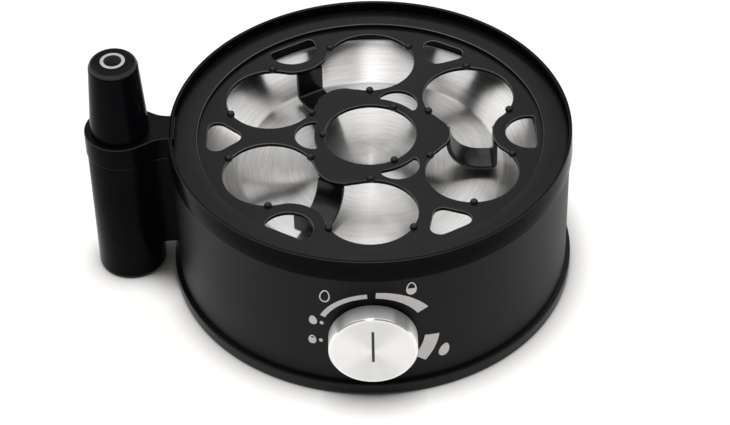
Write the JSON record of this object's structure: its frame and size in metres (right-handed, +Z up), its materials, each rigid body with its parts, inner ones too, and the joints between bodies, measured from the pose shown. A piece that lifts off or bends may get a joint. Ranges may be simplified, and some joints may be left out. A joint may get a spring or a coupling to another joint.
{
  "type": "egg cooker",
  "caption": "Round electric cooker for boiled eggs with lift-out tray, steel heating dish, time knob and a side column for a swivelling lid.",
  "frame": {"origin": "on the floor under the axis of the drum, in the plane of the feet", "axes": "+Z up along the drum axis, -Y towards the knob, -X towards the lid column"},
  "size_m": [0.2199, 0.1917, 0.117],
  "materials": {
    "shell_satin": "satin black, fine grain",
    "shell_gloss": "deep glossy black moulding",
    "black_ring": "matt black moulding",
    "tray_black": "satin black moulding with glossy edges",
    "steel": "spun stainless, circular brushing",
    "steel_bright": "zinc plated or plain steel",
    "chrome_satin": "satin chrome",
    "pointer_black": "black line",
    "print_grey": "pale warm grey print",
    "rubber": "matt rubber",
    "seal_red": "silicone",
    "core_black": "black moulding",
    "bush_white": "acetal",
    "element_metal": "oxidised steel tube",
    "ceramic": "pale ceramic or nylon",
    "board_green": "circuit board lacquer",
    "brass": "nickel plated brass"
  },
  "bodies": {
    "root": {"housing": "shell_satin", "inlet_panel": "shell_satin", "column": "shell_gloss", "collar": "shell_gloss", "column_cap": "shell_gloss", "base_ring": "black_ring", "base_plate": "black_ring", "feet": "rubber", "base_screws": "steel_bright", "collar_screws": "steel_bright", "column_cover": "black_ring", "post_bush": "bush_white", "heating_dish": "steel", "dish_seal": "seal_red", "dish_clamps": "steel_bright", "clamp_screws": "steel_bright", "dish_studs": "steel_bright", "heating_element": "element_metal", "element_plate": "steel_bright", "shield_spacers": "ceramic", "heat_shield": "steel_bright", "stud_nuts": "steel_bright", "thermostat": "core_black", "thermostat_clip": "steel_bright", "thermal_fuse": "ceramic", "fuse_clip": "steel_bright", "regulator": "core_black", "regulator_nut": "brass", "regulator_bracket": "steel_bright", "bracket_screws": "steel_bright", "circuit_board": "board_green", "board_screws": "steel_bright", "buzzer": "core_black", "terminal_block": "ceramic", "terminal_screws": "steel_bright", "cord_gland": "rubber", "dial_print": "print_grey"},
    "knob": {"knob_cap": "chrome_satin", "knob_core": "core_black", "knob_pointer": "pointer_black", "control_shaft": "steel_bright"},
    "tray": {"egg_tray": "tray_black", "tray_rim": "tray_black", "tray_skirt": "tray_black", "tray_saddles": "tray_black"},
    "post": {"pivot_post": "shell_gloss", "socket_sleeve": "steel_bright", "post_clip": "steel_bright"}
  },
  "joints": [
    {"name": "knob_turn", "type": "hinge", "parent": "root", "child": "knob", "pos_m": [0, -0.09, 0.0345], "axis": [0, 1, 0], "range_deg": [-110, 130]},
    {"name": "tray_lift", "type": "slide", "parent": "root", "child": "tray", "axis": [0, 0, 1], "range_m": [0, 0.08]},
    {"name": "post_swivel", "type": "hinge", "parent": "root", "child": "post", "pos_m": [-0.112, 0, 0.08], "axis": [0, 0, 1], "range_deg": [0, 120]}
  ]
}
